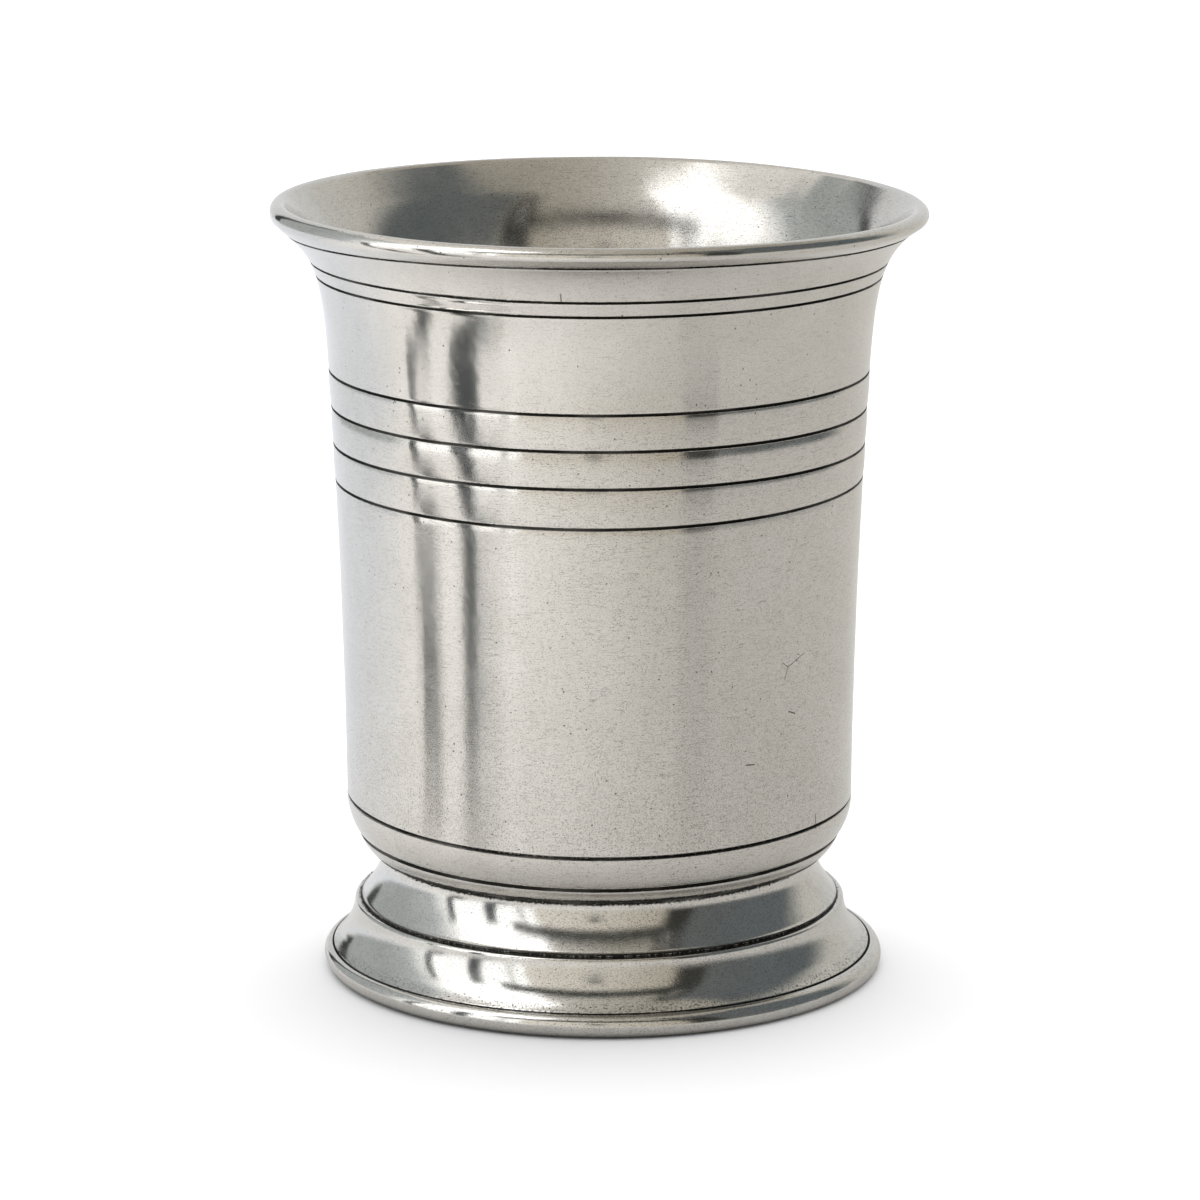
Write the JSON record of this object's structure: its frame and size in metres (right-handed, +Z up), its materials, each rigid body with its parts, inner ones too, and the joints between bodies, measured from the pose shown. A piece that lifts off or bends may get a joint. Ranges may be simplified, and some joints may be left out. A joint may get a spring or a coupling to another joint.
{
  "type": "julep cup",
  "caption": "Footed julep cup with a flared mouth, turned lines round its barrel and a stepped hollow pedestal foot.",
  "frame": {"origin": "centre of the foot's standing ring, on the surface that the cup stands on", "axes": "+Z up along the cup's axis, from the foot to the mouth"},
  "size_m": [0.092, 0.092, 0.11],
  "materials": {
    "pewter": "satin turned pewter, warm grey, with dark turned lines",
    "foot_pewter": "more polished turned pewter",
    "solder": "tarnished rough solder"
  },
  "bodies": {
    "root": {"barrel": "pewter", "bowl_bottom": "pewter", "foot_collar": "foot_pewter", "foot_base": "foot_pewter", "barrel_solder": "solder", "collar_solder": "solder", "step_solder": "solder"}
  },
  "joints": []
}
